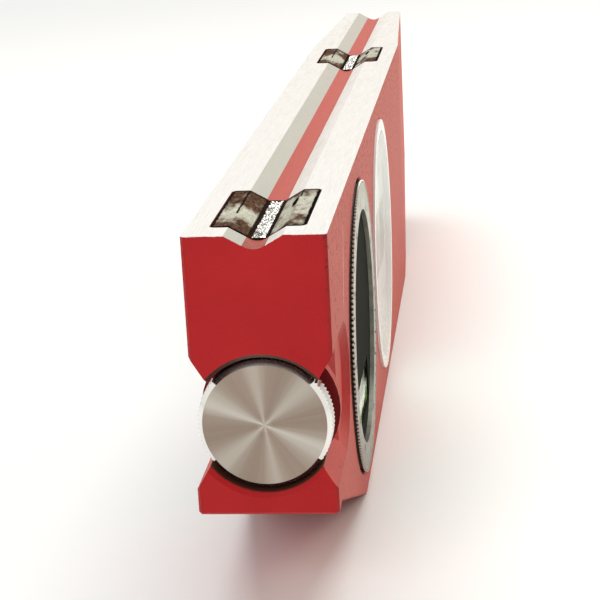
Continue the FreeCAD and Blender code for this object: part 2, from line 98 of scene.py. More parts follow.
class Finish:
    """One material: helpers that add nodes, with a Principled shader already in place."""

    def __init__(self, name):
        self.material = bpy.data.materials.new(name)
        self.material.use_nodes = True
        self.tree = self.material.node_tree
        self.tree.nodes.clear()
        self.output = self.tree.nodes.new("ShaderNodeOutputMaterial")
        self.surface = self.tree.nodes.new("ShaderNodeBsdfPrincipled")
        self.tree.links.new(self.surface.outputs[0], self.output.inputs[0])
        self.place = self.tree.nodes.new("ShaderNodeTexCoord").outputs["Object"]
        axes = self.node("ShaderNodeSeparateXYZ", {0: self.place})
        self.x, self.y, self.z = axes.outputs

    def feed(self, socket, value):
        """Link an output to a socket, or set the socket to a number or a colour."""
        if isinstance(value, bpy.types.NodeSocket):
            self.tree.links.new(value, socket)
        elif hasattr(value, "__len__") and len(value) == 3 and socket.type == "RGBA":
            socket.default_value = (*value, 1.0)
        else:
            socket.default_value = value

    def node(self, kind, sockets, **settings):
        """Add a node of a kind, with settings, and feed its sockets."""
        made = self.tree.nodes.new(kind)
        for key, value in settings.items():
            setattr(made, key, value)
        for key, value in sockets.items():
            self.feed(made.inputs[key], value)
        return made

    def principled(self, **sockets):
        """Feed sockets of the main shader, underscores standing for spaces."""
        for key, value in sockets.items():
            self.feed(self.surface.inputs[key.replace("_", " ")], value)

    def math(self, operation, first, second=0.0, third=0.0):
        """One arithmetic step."""
        made = self.node("ShaderNodeMath", {0: first, 1: second, 2: third}, operation=operation)
        return made.outputs[0]

    def between(self, value, low, high, soft):
        """1 where value lies between low and high, with soft edges."""
        rise = self.node("ShaderNodeMapRange", {0: value, 1: low - soft, 2: low + soft})
        fall = self.node("ShaderNodeMapRange", {0: value, 1: high + soft, 2: high - soft})
        return self.math("MULTIPLY", rise.outputs[0], fall.outputs[0])

    def mix(self, share, first, second):
        """Blend of two colours."""
        made = self.node("ShaderNodeMix", {0: share, 6: first, 7: second}, data_type="RGBA")
        return made.outputs[2]

    def blend(self, share, first, second):
        """Blend of two numbers."""
        made = self.node("ShaderNodeMix", {0: share, 2: first, 3: second})
        return made.outputs[0]

    def stretch(self, x, y, z):
        """Object place scaled along each axis, to draw a pattern out."""
        made = self.node("ShaderNodeMapping", {0: self.place, 3: (x, y, z)})
        return made.outputs[0]

    def noise(self, scale, detail=3.0, roughness=0.55, place=None):
        """Noise between 0 and 1, scale in grains for each metre."""
        sockets = {"Vector": place or self.place, "Scale": scale, "Detail": detail,
                   "Roughness": roughness}
        return self.node("ShaderNodeTexNoise", sockets).outputs[0]

    def steps(self, value, low, high, start=0.0, end=1.0):
        """Value between low and high spread over start to end, and held outside."""
        return self.node("ShaderNodeMapRange", {0: value, 1: low, 2: high, 3: start,
                                                4: end}).outputs[0]

    def relief(self, height, depth, strength=1.0):
        """Bump from a height between 0 and 1, depth in metres."""
        made = self.node("ShaderNodeBump", {"Strength": strength, "Distance": depth,
                                            "Height": height})
        self.principled(Normal=made.outputs[0])

    def radius(self, centre_y, centre_z):
        """Distance from an axis along X."""
        dy = self.math("SUBTRACT", self.y, centre_y)
        dz = self.math("SUBTRACT", self.z, centre_z)
        return self.hypotenuse(dy, dz)

    def hypotenuse(self, first, second):
        """Length of a vector with two components."""
        square = self.math("MULTIPLY", first, first)
        total = self.math("MULTIPLY_ADD", second, second, square)
        return self.math("SQRT", total)


def dress(finish, *names):
    """Give a finish to CAD nodes."""
    for name in names:
        mesh = NODES[name].data
        mesh.materials.clear()
        mesh.materials.append(finish.material)
    print(finish.material.name, "on", ", ".join(names))


# %% [markdown]
# ## Red anodising and ground metal
#
# Anodising is a dyed, slightly matt skin on bright metal. It looks deep red face on, and
# it turns pink where light grazes it, which a dielectric layer over red gives by itself.
# The working face and the flanks of the groove were ground after dyeing, so they are
# bare: the same material, split by height and by the distance from the middle. Fine dust
# shows most at a flat angle, where a little warm sheen stands for it.

# %% Body finish
RED = (0.49, 0.012, 0.015)
RED_DEEP = (0.39, 0.007, 0.010)
# painted shade: nearly black colour for the thumb screw's bore and the top of its mouth
SHADED = (0.030, 0.004, 0.005)
BARE = (0.86, 0.89, 0.89)
WORN = (0.35, 0.375, 0.325)
DUSTY = ((0.30, 0.030, 0.026), (0.46, 0.085, 0.070))
SCRATCH = ((23.5, 4.2), (19.3, 16.7))


def scratch(skin):
    """Ragged line on the side, between two points given in mm from the end and the face."""
    (start_y, start_z), (end_y, end_z) = SCRATCH
    length = math.hypot(end_y - start_y, end_z - start_z)
    along_y, along_z = (end_y - start_y) / length, (start_z - end_z) / length
    dy = skin.math("SUBTRACT", skin.y, NEAR_Y + start_y * MM)
    dz = skin.math("SUBTRACT", skin.z, WORKING_Z - start_z * MM)
    along = skin.math("MULTIPLY_ADD", dz, along_z, skin.math("MULTIPLY", dy, along_y))
    across = skin.math("MULTIPLY_ADD", dz, -along_y, skin.math("MULTIPLY", dy, along_z))
    waver = skin.steps(skin.noise(300.0, 2.0, 0.5), 0.2, 0.8, -0.3 * MM, 0.3 * MM)
    line = skin.between(skin.math("ADD", across, waver), -0.3 * MM, 0.3 * MM, 0.25 * MM)
    reach = skin.between(along, 0.5 * MM, (length - 0.5) * MM, 0.5 * MM)
    broken = skin.steps(skin.noise(1300.0, 5.0, 0.75), 0.38, 0.62)
    return skin.math("MULTIPLY", skin.math("MULTIPLY", line, reach), broken)


def groove_depth(skin, from_middle):
    """Depth of the ground surface below the face: 0 on the flats, then down the V."""
    share = skin.steps(from_middle, GROOVE_FOOT_HALF, GROOVE_HALF, 1.0, 0.0)
    return skin.math("MULTIPLY", share, GROOVE_DEPTH)


def bare_share(skin):
    """1 where the body was ground after dyeing, 0 where it kept its colour."""
    from_middle = skin.math("ABSOLUTE", skin.x)
    ragged = skin.noise(900.0, 4.0, 0.7)
    edge = skin.steps(ragged, 0.35, 0.75, 0.0, 0.00012)
    height = skin.math("ADD", skin.z, groove_depth(skin, from_middle))
    ground = skin.steps(skin.math("ADD", height, edge), WORKING_Z - 0.00004, WORKING_Z)
    outside = skin.steps(from_middle, GROOVE_FOOT_HALF - 0.00002, GROOVE_FOOT_HALF + 0.00002)
    return skin.math("MULTIPLY", ground, outside)


def dyed_colour(skin):
    """Red with clouds, dark specks, a few bright scratches and painted shade in the thumb
    screw's bore.
    """
    cloud = skin.noise(60.0, 4.0)
    grain = skin.noise(4200.0, 2.0, 0.6)
    red = skin.mix(skin.steps(cloud, 0.3, 0.7), RED_DEEP, RED)
    red = skin.mix(skin.steps(grain, 0.35, 0.7, 0.0, 0.3), red, (0.22, 0.008, 0.010))
    side = skin.steps(skin.math("ABSOLUTE", skin.x), HALF_WIDTH - 0.0008, HALF_WIDTH - 0.0002)
    drawn = skin.stretch(1.0, 0.15, 1.0)
    brushed = skin.steps(skin.noise(1500.0, 3.0, 0.6, drawn), 0.35, 0.65, 0.0, 0.55)
    red = skin.mix(skin.math("MULTIPLY", brushed, side), red, (0.24, 0.010, 0.012))
    specks = skin.math("ADD", skin.noise(1500.0, 4.0, 0.7, skin.stretch(1.0, 0.3, 1.0)),
                       skin.steps(skin.z, WORKING_Z - 0.030, WORKING_Z, -0.03, 0.03))
    specks = skin.math("MULTIPLY", skin.steps(specks, 0.59, 0.65, 0.0, 0.7), side)
    red = skin.mix(specks, red, (0.07, 0.012, 0.010))
    red = skin.mix(skin.math("MULTIPLY", scratch(skin), side), red, (0.62, 0.50, 0.36))
    inner = skin.steps(skin.math("ABSOLUTE", skin.x), GROOVE_FOOT_HALF, 0.0018, 1.0, 0.0)
    high = skin.steps(skin.z, WORKING_Z - 0.0022, WORKING_Z - 0.0019)
    front = skin.math("MULTIPLY", skin.steps(skin.y, NEAR_Y + 0.0001, NEAR_Y + 0.0002),
                      skin.steps(skin.y, NEAR_Y + 0.001, NEAR_Y + 0.007, 1.0, 0.0))
    relief = skin.math("MULTIPLY", skin.math("MULTIPLY", inner, high),
                       skin.steps(skin.y, NEAR_Y + 0.00005, NEAR_Y + 0.0001))
    red = skin.mix(skin.math("MULTIPLY", relief, 0.9), red, skin.mix(grain, *DUSTY))
    grime = skin.math("MULTIPLY", relief, front)
    grime = skin.math("MULTIPLY", grime, skin.steps(skin.noise(2600.0, 4.0, 0.7), 0.42, 0.58))
    red = skin.mix(grime, red, (0.10, 0.045, 0.03))
    # Painted shade: the bore of the thumb screw and the upper half of its mouth are painted
    # nearly black.
    from_knob = skin.hypotenuse(skin.x, skin.math("SUBTRACT", skin.z, KNOB_Z))
    bore = skin.steps(from_knob, KNOB_BORE_R + 0.00004, KNOB_BORE_R + 0.00010, 1.0, 0.0)
    deep = skin.steps(skin.y, NEAR_Y + 0.0003, NEAR_Y + 0.0011)
    shallow = skin.steps(skin.y, NEAR_Y + 0.0079, NEAR_Y + 0.0081, 1.0, 0.0)
    shade = skin.math("MULTIPLY", bore, skin.math("MULTIPLY", deep, shallow))
    mouth = skin.steps(from_knob, KNOB_BORE_R + 0.0006, KNOB_BORE_R + 0.0005)
    behind = skin.steps(skin.y, NEAR_Y + 0.00002, NEAR_Y + 0.00006)
    under = skin.steps(skin.z, KNOB_Z + 0.002, KNOB_Z + 0.006)
    mouth = skin.math("MULTIPLY", skin.math("MULTIPLY", mouth, behind), under)
    shade = skin.math("MAXIMUM", shade, skin.math("MULTIPLY", mouth, shallow))
    texture = skin.blend(side, grain, skin.noise(1800.0, 3.0, 0.65, drawn))
    return skin.mix(shade, red, SHADED), grain, texture, specks


def ground_colour(skin):
    """Bare metal with scuffs and drawn lines, duller and greener on the left flank."""
    lines = skin.noise(1.0, 3.0, 0.6, skin.stretch(9000.0, 120.0, 9000.0))
    scuffs = skin.noise(1.0, 4.0, 0.65, skin.stretch(700.0, 90.0, 700.0))
    metal = skin.mix(skin.steps(scuffs, 0.35, 0.75), BARE, (0.55, 0.57, 0.55))
    metal = skin.mix(skin.steps(lines, 0.35, 0.8, 0.0, 0.4), metal, (0.38, 0.37, 0.34))
    left = skin.between(skin.x, -GROOVE_HALF, -GROOVE_FOOT_HALF, 0.00002)
    metal = skin.mix(skin.math("MULTIPLY", left, 0.8), metal, WORN)
    return metal, lines, scuffs


def make_body_finish():
    """Red skin with specks, and bare ground metal on the face and the flanks."""
    skin = Finish("anodised_body")
    bare = bare_share(skin)
    red, grain, texture, specks = dyed_colour(skin)
    metal, lines, scuffs = ground_colour(skin)
    matt = skin.math("MULTIPLY_ADD", specks, 0.4, skin.steps(grain, 0.3, 0.7, 0.42, 0.54))
    skin.principled(Base_Color=skin.mix(bare, red, metal),
                    Metallic=bare,
                    Roughness=skin.blend(bare, matt, skin.steps(scuffs, 0.3, 0.8, 0.28, 0.5)))
    skin.surface.inputs["Specular IOR Level"].default_value = 0.16
    skin.surface.inputs["Sheen Weight"].default_value = 0.13
    skin.surface.inputs["Sheen Roughness"].default_value = 0.5
    skin.surface.inputs["Sheen Tint"].default_value = (1.0, 0.50, 0.22, 1.0)
    skin.relief(skin.blend(bare, texture, lines), 0.00003, 0.35)
    return skin


dress(make_body_finish(), "body")

# %% [markdown]
# ## Magnet inserts
#
# The steel poles are ground flush with the groove and have gone brown, with a dark line
# where the flat meets the flank. The resin round them is nearly black. The magnet bar is
# plated and stayed bright, but its top is crumbly: that is shape rather than colour, so
# the bar is made again below as a surface with a broken top.

# %% Poles and resin
ENDS = ("near", "far")
RUST = ((0.016, 0.009, 0.006), (0.15, 0.085, 0.055))


def share_along(finish):
    """0 at the near end of an insert and 1 at its far end, for both inserts."""
    shares = []
    for end in ENDS:
        low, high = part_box(end + "_pole_left")
        shares.append(finish.steps(finish.y, low.y, high.y))
    halfway = finish.steps(finish.y, -0.001, 0.001)
    return finish.blend(halfway, *shares)


def rust_share(steel, along, from_middle):
    """How rusty a pole is: more at its ends, in bands on the left and in a right corner."""
    left = steel.steps(steel.x, -0.001, 0.001, 1.0, 0.0)
    ends = steel.math("SUBTRACT", 1.0, steel.between(along, 0.06, 0.94, 0.06))
    foot = steel.steps(from_middle, GROOVE_FOOT_HALF, GROOVE_FOOT_HALF + 0.0008, 0.10, 0.0)
    from_band = steel.math("ABSOLUTE", steel.math("SUBTRACT", along, 0.44))
    bands = steel.math("MULTIPLY", left, steel.steps(from_band, 0.08, 0.24, -0.06, 0.18))
    corner = steel.math("MULTIPLY", steel.steps(along, 0.16, 0.32, 0.20, 0.0),
                        steel.steps(steel.x, 0.0034, 0.0052))
    total = steel.math("MULTIPLY_ADD", ends, 0.10, foot)
    return steel.math("ADD", steel.math("ADD", total, bands), corner)


def fold_share(steel, along, from_middle):
    """Black line at the edge of the groove, long on the left, and a blot on the right."""
    wander = steel.steps(steel.noise(500.0, 3.0, 0.6), 0.2, 0.8, -0.1 * MM, 0.1 * MM)
    path = steel.math("ADD", from_middle, wander)
    fold = steel.between(path, GROOVE_HALF - 0.14 * MM, GROOVE_HALF + 0.14 * MM, 0.07 * MM)
    reach = steel.steps(steel.x, -0.001, 0.001, 0.36, 0.80)
    fold = steel.math("MULTIPLY", fold, steel.math("GREATER_THAN", along, reach))
    blot_x = steel.math("MULTIPLY", steel.math("SUBTRACT", steel.x, 3.5 * MM), 2100.0)
    blot_y = steel.math("MULTIPLY", steel.math("SUBTRACT", along, 0.70), 6.5)
    blot = steel.math("ADD", steel.hypotenuse(blot_x, blot_y), steel.noise(1300.0, 4.0, 0.7))
    return steel.math("MAXIMUM", fold, steel.steps(blot, 1.25, 1.45, 1.0, 0.0))


def make_pole_finish():
    """Tarnished ground steel, rusty in places, with a dark fold and a dark border."""
    steel = Finish("tarnished_pole")
    from_middle = steel.math("ABSOLUTE", steel.x)
    along = share_along(steel)
    drawn = steel.stretch(1.0, 0.45, 1.0)
    stain = steel.noise(380.0, 4.0, 0.6, drawn)
    grain = steel.noise(2200.0, 4.0, 0.65, drawn)
    metal = steel.mix(steel.steps(grain, 0.35, 0.7), (0.29, 0.285, 0.215), (0.53, 0.53, 0.44))
    rusty = steel.math("ADD", stain, rust_share(steel, along, from_middle))
    rusty = steel.math("MULTIPLY_ADD", grain, 0.22, rusty)
    brown = steel.steps(rusty, 0.62, 0.78)
    colour = steel.mix(brown, metal, steel.mix(steel.steps(grain, 0.3, 0.65), *RUST))
    pits = steel.steps(grain, 0.30, 0.36, 0.9, 0.0)
    ragged = steel.math("MULTIPLY_ADD", grain, 0.0007, from_middle)
    sides = steel.steps(ragged, POLE_OUTER + 0.00010, POLE_OUTER + 0.00024)
    ragged = steel.math("MULTIPLY_ADD", steel.math("SUBTRACT", grain, 0.5), 0.05, along)
    ends = steel.math("SUBTRACT", 1.0, steel.between(ragged, 0.02, 0.98, 0.01))
    border = steel.math("MAXIMUM", sides, ends)
    dark = steel.math("MAXIMUM", steel.math("MAXIMUM", pits, border),
                      fold_share(steel, along, from_middle))
    steel.principled(Base_Color=steel.mix(dark, colour, (0.012, 0.009, 0.008)),
                     Metallic=steel.blend(steel.math("MAXIMUM", dark, brown), 0.8, 0.0),
                     Roughness=steel.steps(stain, 0.3, 0.7, 0.35, 0.6))
    steel.surface.inputs["Specular IOR Level"].default_value = 0.0
    steel.relief(steel.math("SUBTRACT", grain, dark), 0.00008, 0.6)
    return steel


def make_resin_finish():
    """Nearly black cast resin with a dull, uneven top."""
    resin = Finish("pocket_resin")
    lumps = resin.noise(900.0, 4.0, 0.65)
    resin.principled(Base_Color=resin.mix(lumps, (0.006, 0.004, 0.004), (0.035, 0.022, 0.016)),
                     Roughness=resin.steps(lumps, 0.3, 0.7, 0.55, 0.8))
    resin.surface.inputs["Specular IOR Level"].default_value = 0.0
    resin.relief(lumps, 0.0002, 0.8)
    return resin


dress(make_pole_finish(), *[end + "_pole_" + side for end in ENDS for side in ("left", "right")])
dress(make_resin_finish(), *[end + "_resin" for end in ENDS])

# %% [markdown]
# ## Surfaces as arrays
#
# The new pieces are functions of two parameters. A grid of points is worked out as whole
# arrays, and one helper turns such a grid into a mesh: it numbers the corners of every
# cell at once and closes the grid where its ends meet. Points that fall together at a
# pole are then welded, so that each piece is a closed skin.

# %% Grid helper
WELD_REACH = 0.0001 * MM


def grid_faces(rows, columns, wrap_columns=False):
    """Corner numbers of all cells of a grid, one row for each cell."""
    across = columns if wrap_columns else columns - 1
    row, column = np.meshgrid(np.arange(rows - 1), np.arange(across), indexing="ij")
    after = (column + 1) % columns
    corners = [row * columns + column, row * columns + after,
               (row + 1) * columns + after, (row + 1) * columns + column]
    return np.stack(corners, axis=-1).reshape(-1, 4)


def make_piece(name, points, faces, finish, body, smooth=True):
    """Mesh object from arrays, its poles welded to one point, riding on a body."""
    mesh = bpy.data.meshes.new(name)
    mesh.from_pydata(points.reshape(-1, 3).tolist(), [], faces.tolist())
    welded = bmesh.new()
    welded.from_mesh(mesh)
    bmesh.ops.remove_doubles(welded, verts=welded.verts, dist=WELD_REACH)
    welded.to_mesh(mesh)
    welded.free()
    mesh.polygons.foreach_set("use_smooth", np.full(len(mesh.polygons), smooth))
    mesh.materials.append(finish.material)
    mesh.validate()
    piece = bpy.data.objects.new(name, mesh)
    bpy.context.scene.collection.objects.link(piece)
    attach(piece, body)
    print(name, "has", len(mesh.polygons), "faces")
    return piece


# %% Magnet bars
SINE_WAVES = 14
CRUMBLE_DEPTH = 0.22 * MM
FIRST_SEED = 11


def make_magnet_finish():
    """Bright plated metal with dark pits between the crumbs."""
    plated = Finish("rough_magnet")
    grime = plated.noise(1400.0, 3.0, 0.65)
    bend = plated.node("ShaderNodeVectorMath", {0: plated.place, 1: plated.node(
        "ShaderNodeCombineXYZ", {0: plated.math("MULTIPLY", grime, 0.0005),
                                 1: plated.math("MULTIPLY", grime, -0.0004)}).outputs[0]},
        operation="ADD").outputs[0]
    crack = plated.node("ShaderNodeTexVoronoi", {"Vector": bend, "Scale": 1900.0},
                        feature="DISTANCE_TO_EDGE").outputs["Distance"]
    patch = plated.steps(plated.noise(400.0, 3.0, 0.6), 0.40, 0.62, 0.02, -0.03)
    crumb = plated.math("ADD", plated.math("MULTIPLY_ADD", grime, 0.10, crack), patch)
    crumb = plated.steps(crumb, 0.08, 0.19)
    colour = plated.mix(crumb, (0.10, 0.085, 0.07), (0.88, 0.88, 0.84))
    plated.principled(Base_Color=colour, Metallic=plated.math("MULTIPLY", crumb, 0.8),
                      Roughness=0.38)
    plated.surface.inputs["Specular IOR Level"].default_value = 0.0
    plated.relief(crumb, 0.00015, 0.9)
    return plated


def crumble(across, along, seed):
    """Sum of a few sine waves in random directions, which breaks up a flat top."""
    random = np.random.default_rng(seed)
    height = np.zeros_like(across)
    for _ in range(SINE_WAVES):
        angle = random.uniform(0, 2 * math.pi)
        pitch = random.uniform(0.0006, 0.0022)
        phase = random.uniform(0, 2 * math.pi)
        travel = across * math.cos(angle) + along * math.sin(angle)
        height += np.sin(2 * math.pi * travel / pitch + phase)
    return height / np.abs(height).max()


def make_magnet_bar(end, finish, seed):
    """Closed bar round the box of the CAD magnet: the section is carried along Y, and
    the top sinks by up to twice the crumble depth."""
    low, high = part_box(end + "_magnet")
    across = np.linspace(low.x, high.x, 22)
    along = np.linspace(low.y, high.y, 150)
    x, y = np.meshgrid(across, along)
    top = high.z - CRUMBLE_DEPTH * (1 + crumble(x, y, seed))
    base = np.full_like(top, low.z)
    ring = np.concatenate([np.stack([x, y, top], -1),
                           np.stack([x, y, base], -1)[:, ::-1]], axis=1)
    start = ring[:1].copy()
    finish_end = ring[-1:].copy()
    start[..., 0] = (low.x + high.x) / 2
    start[..., 2] = (low.z + high.z) / 2
    finish_end[..., 0] = start[..., 0]
    finish_end[..., 2] = start[..., 2]
    points = np.concatenate([start, ring, finish_end])
    faces = grid_faces(points.shape[0], points.shape[1], wrap_columns=True)
    bar = make_piece(end + "_magnet_bar", points, faces, finish, "frame",
                     smooth=False)
    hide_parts(end + "_magnet")


magnet_finish = make_magnet_finish()
for number, end in enumerate(ENDS):
    make_magnet_bar(end, magnet_finish, FIRST_SEED + number)

# %% [markdown]
# ## Turned steel
#
# A lathe leaves rings so fine that they act together: the face shows bright fans that
# turn with the light, not single lines. Anisotropy whose tangent runs round the axis gives
# this under a few small lamps. A studio's light is too even for it, so the brightest fans
# and a spot at the centre are also painted into the colour as painted highlights, each fan
# as a power of the cosine to its direction. The chamfer was polished, and the teeth of the
# rim are the CAD part's own.

# %% Thumb screw finish


PAINTED_FANS = ((153.0, 27.0, 0.60), (159.0, 200.0, 0.25), (42.0, 30.0, 0.55), (98.0, 70.0, 0.36))


def add_fan(steel, dx, dz, angle, sharpness):
    """Pair of painted highlight sectors opposite each other: a power of the cosine to a
    direction.
    """
    turn = math.radians(angle)
    along = steel.math("MULTIPLY", dx, math.cos(turn))
    along = steel.math("MULTIPLY_ADD", dz, math.sin(turn), along)
    return steel.math("POWER", steel.math("ABSOLUTE", along), sharpness)


def make_knob_finish():
    """Turned face with painted highlight fans, polished chamfer and a plain knurled rim."""
    steel = Finish("turned_steel")
    dx = steel.x
    dz = steel.math("SUBTRACT", steel.z, KNOB_Z)
    radius = steel.math("MAXIMUM", steel.hypotenuse(dx, dz), 0.00001)
    unit_x = steel.math("DIVIDE", dx, radius)
    unit_z = steel.math("DIVIDE", dz, radius)
    face = steel.steps(steel.y, KNOB_FACE_Y + 0.00002, KNOB_FACE_Y + 0.00005, 1.0, 0.0)
    rings = steel.noise(1.0, 3.0, 0.7, steel.node(
        "ShaderNodeCombineXYZ", {0: steel.math("MULTIPLY", radius, 9000.0)}).outputs[0])
    streaks = steel.noise(9.0, 4.0, 0.7, steel.node(
        "ShaderNodeCombineXYZ", {0: unit_x, 1: unit_z}).outputs[0])
    # Painted highlight: a bright spot at the centre, then the fans, then the turning rings and
    # streaks.
    painted_highlight_and_rings = steel.steps(radius, 0.0, 0.0012, 0.4, 0.0)
    for angle, sharpness, strength in PAINTED_FANS:
        fan = add_fan(steel, unit_x, unit_z, angle, sharpness)
        painted_highlight_and_rings = steel.math("MULTIPLY_ADD", fan, strength, painted_highlight_and_rings)
    fine = steel.math("MULTIPLY_ADD", steel.math("ADD", rings, streaks), 0.3, -0.3)
    painted_highlight_and_rings = steel.math("ADD", painted_highlight_and_rings, fine)
    colour = steel.mix(painted_highlight_and_rings, (0.280, 0.216, 0.174), (0.57, 0.543, 0.486))
    polished = steel.steps(steel.y, KNOB_FACE_Y + 0.9 * KNOB_CHAMFER,
                           KNOB_FACE_Y + KNOB_CHAMFER, 1.0, 0.0)
    worn = steel.math("MAXIMUM", steel.noise(1500.0, 4.0, 0.7), polished)
    rim = steel.mix(worn, (0.30, 0.28, 0.25), (0.80, 0.79, 0.76))
    steel.principled(Base_Color=steel.mix(face, rim, colour), Metallic=1.0,
                     Roughness=steel.blend(face, 0.16, 0.34))
    steel.surface.inputs["Anisotropic"].default_value = 0.6
    steel.surface.inputs["Anisotropic Rotation"].default_value = 0.25
    tangent = steel.node("ShaderNodeTangent", {}, direction_type="RADIAL", axis="Y")
    steel.feed(steel.surface.inputs["Tangent"], tangent.outputs[0])
    steel.relief(steel.math("MULTIPLY", rings, face), 0.00001, 0.4)
    return steel


def make_plain_metal(name, colour, roughness):
    """Turned metal that nothing shows up close."""
    metal = Finish(name)
    grain = metal.noise(1.0, 3.0, 0.6, metal.stretch(800.0, 9000.0, 800.0))
    darker = tuple(0.75 * channel for channel in colour)
    metal.principled(Base_Color=metal.mix(grain, darker, colour), Metallic=1.0,
                     Roughness=metal.steps(grain, 0.3, 0.7, roughness - 0.06, roughness + 0.06))
    metal.relief(grain, 0.00001, 0.3)
    return metal


dress(make_knob_finish(), "thumb_knob")
dress(make_plain_metal("plain_steel", (0.60, 0.60, 0.60), 0.34), "knob_stud", "brake_plunger",
      "level_screws")
dress(make_plain_metal("bush_brass", (0.72, 0.50, 0.20), 0.3), "stud_bush")

# %% [markdown]
# ## The dial
#
# The rings are clear-anodised aluminium with engraved marks, filled black. The marks are
# cut in the CAD part, so the paint only has to know when a point lies below the face. The
# rim is painted dark between and below its teeth as painted shade, and the face is painted
# darker towards the bottom as a painted dark reflection, with some wear. The hub is matt
# black moulding. The numbers are text made into a mesh and laid on the face.

# %% Dial finishes
FACE_INNER_R = DIAL_R - FACE_WIDTH


def make_dial_finish():
    """Satin silver with turning rings on the face and black paint in the marks."""
    silver = Finish("dial_silver")
    from_middle = silver.math("ABSOLUTE", silver.x)
    radius = silver.radius(DIAL_Y, DIAL_Z)
    rings = silver.noise(1.0, 3.0, 0.7, silver.node(
        "ShaderNodeCombineXYZ", {0: silver.math("MULTIPLY", radius, 7000.0)}).outputs[0])
    sunk = silver.between(from_middle, DIAL_FACE_X - 0.0019, DIAL_FACE_X - 0.00010, 0.00001)
    inside = silver.between(radius, FACE_INNER_R + 0.0004, DIAL_R - 0.0006, 0.00002)
    paint = silver.math("MULTIPLY", sunk, inside)
    wear = silver.noise(500.0, 4.0, 0.7)
    metal = silver.mix(rings, (0.34, 0.35, 0.29), (0.47, 0.48, 0.41))
    # Painted dark reflection: the face is painted darker towards the bottom, plus real wear.
    dark_reflection_and_wear = silver.steps(silver.math("SUBTRACT", silver.z, DIAL_Z), -0.016, 0.020, 0.5, 0.0)
    dark_reflection_and_wear = silver.math("ADD", dark_reflection_and_wear, silver.steps(wear, 0.4, 0.8, -0.15, 0.4))
    metal = silver.mix(dark_reflection_and_wear, metal, (0.13, 0.125, 0.10))
    # Painted shade: the rim is painted dark between and below its teeth; only the tips keep
    # lighter metal.
    rim = silver.steps(radius, DIAL_R - 0.00045, DIAL_R - 0.00038)
    tips = silver.math("MULTIPLY", silver.steps(radius, DIAL_R - 0.00030, DIAL_R - 0.00012),
                       silver.steps(from_middle, DIAL_FACE_X - 0.00032, DIAL_FACE_X - 0.00016))
    metal = silver.mix(rim, metal, silver.mix(tips, (0.03, 0.03, 0.026), (0.60, 0.58, 0.50)))
    silver.principled(Base_Color=silver.mix(paint, metal, (0.012, 0.012, 0.012)),
                      Metallic=silver.blend(paint, 0.85, 0.0),
                      Roughness=silver.blend(paint, 0.36, 0.6))
    silver.relief(rings, 0.00001, 0.4)
    return silver


def make_moulding(name, colour, lighter, roughness):
    """Moulded plastic with a fine skin texture."""
    plastic = Finish(name)
    skin = plastic.noise(3800.0, 3.0, 0.6)
    cloud = plastic.noise(90.0, 3.0)
    plastic.principled(Base_Color=plastic.mix(cloud, colour, lighter),
                       Roughness=plastic.steps(skin, 0.3, 0.7, roughness - 0.05,
                                               roughness + 0.05))
    plastic.relief(skin, 0.00002, 0.4)
    return plastic


dress(make_dial_finish(), "dial_ring_right", "dial_ring_left")
black = make_moulding("hub_black", (0.007, 0.008, 0.006), (0.014, 0.015, 0.011), 0.75)
black.surface.inputs["Specular IOR Level"].default_value = 0.02
dress(black, "dial_hub")
dress(make_moulding("pad_nylon", (0.80, 0.79, 0.74), (0.86, 0.85, 0.80), 0.45), "brake_pad")
white = make_moulding("housing_white", (0.82, 0.82, 0.80), (0.88, 0.88, 0.86), 0.25)
dress(white, "level_housing_right", "level_housing_left", "level_plug", "dial_plug")

# %% [markdown]
# ## Numbers on the dial
#
# A protractor dial counts from 0 to 90 and back, four times round. Each number is a text
# curve made into a mesh, turned to its angle and set just above the sunk face, still
# below the edge that shields it. All numbers of a side are one piece.

# %% Dial numbers
NUMBER_STEP = 30
NUMBER_SIZE = 1.5 * MM
NUMBER_R = FACE_INNER_R + 0.95 * MM
NUMBER_RISE = 0.02 * MM


def number_mesh(text):
    """Vertices and faces of a number, centred, in the plane z = 0."""
    curve = bpy.data.curves.new("number", "FONT")
    curve.body = text
    curve.size = NUMBER_SIZE
    curve.align_x = "CENTER"
    curve.align_y = "CENTER"
    curve.resolution_u = 3
    holder = bpy.data.objects.new("number", curve)
    mesh = bpy.data.meshes.new_from_object(holder)
    points = np.array([vertex.co[:] for vertex in mesh.vertices])
    faces = [tuple(polygon.vertices) for polygon in mesh.polygons]
    bpy.data.objects.remove(holder)
    bpy.data.curves.remove(curve)
    bpy.data.meshes.remove(mesh)
    return points, faces


def make_numbers(side, finish):
    """All numbers of one side, upright when read from outside the circle's centre."""
    name = "right" if side > 0 else "left"
    points, faces = [], []
    for angle in range(0, 360, NUMBER_STEP):
        folded = angle % 180
        value = folded if folded <= 90 else 180 - folded
        flat, cells = number_mesh(str(value))
        turn = math.radians(angle)
        outward = np.array([0.0, math.sin(turn) * side, math.cos(turn)])
        along = np.array([0.0, math.cos(turn) * side, -math.sin(turn)])
        centre = np.array([side * (DIAL_FACE_X - FACE_SINK + NUMBER_RISE), DIAL_Y, DIAL_Z])
        centre = centre + outward * NUMBER_R
        first = sum(len(block) for block in points)
        points.append(centre + flat[:, :1] * along + flat[:, 1:2] * outward)
        faces += [tuple(first + corner for corner in cell) for cell in cells]
    mesh = bpy.data.meshes.new("dial_numbers_" + name)
    mesh.from_pydata(np.concatenate(points).tolist(), [], faces)
    mesh.materials.append(finish.material)
    piece = bpy.data.objects.new(mesh.name, mesh)
    bpy.context.scene.collection.objects.link(piece)
    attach(piece, "dial")
    print(piece.name, "has", len(mesh.polygons), "faces")


for side in (1, -1):
    make_numbers(side, black)

# %% [markdown]
# ## Vials
#
# Each vial is a polished block with a barrel-shaped bore. Where glass and liquid share a
# wall, two surfaces at the same place would flicker, so the liquid is made again a hair
# wider than its bore: light then enters it once. The bubble is a closed surface inside.
# Its index is that of gas seen from within liquid, which gives the dark rim of a bubble.
# Solid glass keeps lamplight from what lies behind it, so the white housing would turn
# grey: rays that only carry light therefore pass through, a little tinted.

# %% Vial finishes
LIQUID_INDEX = 1.36
ACRYLIC_INDEX = 1.49


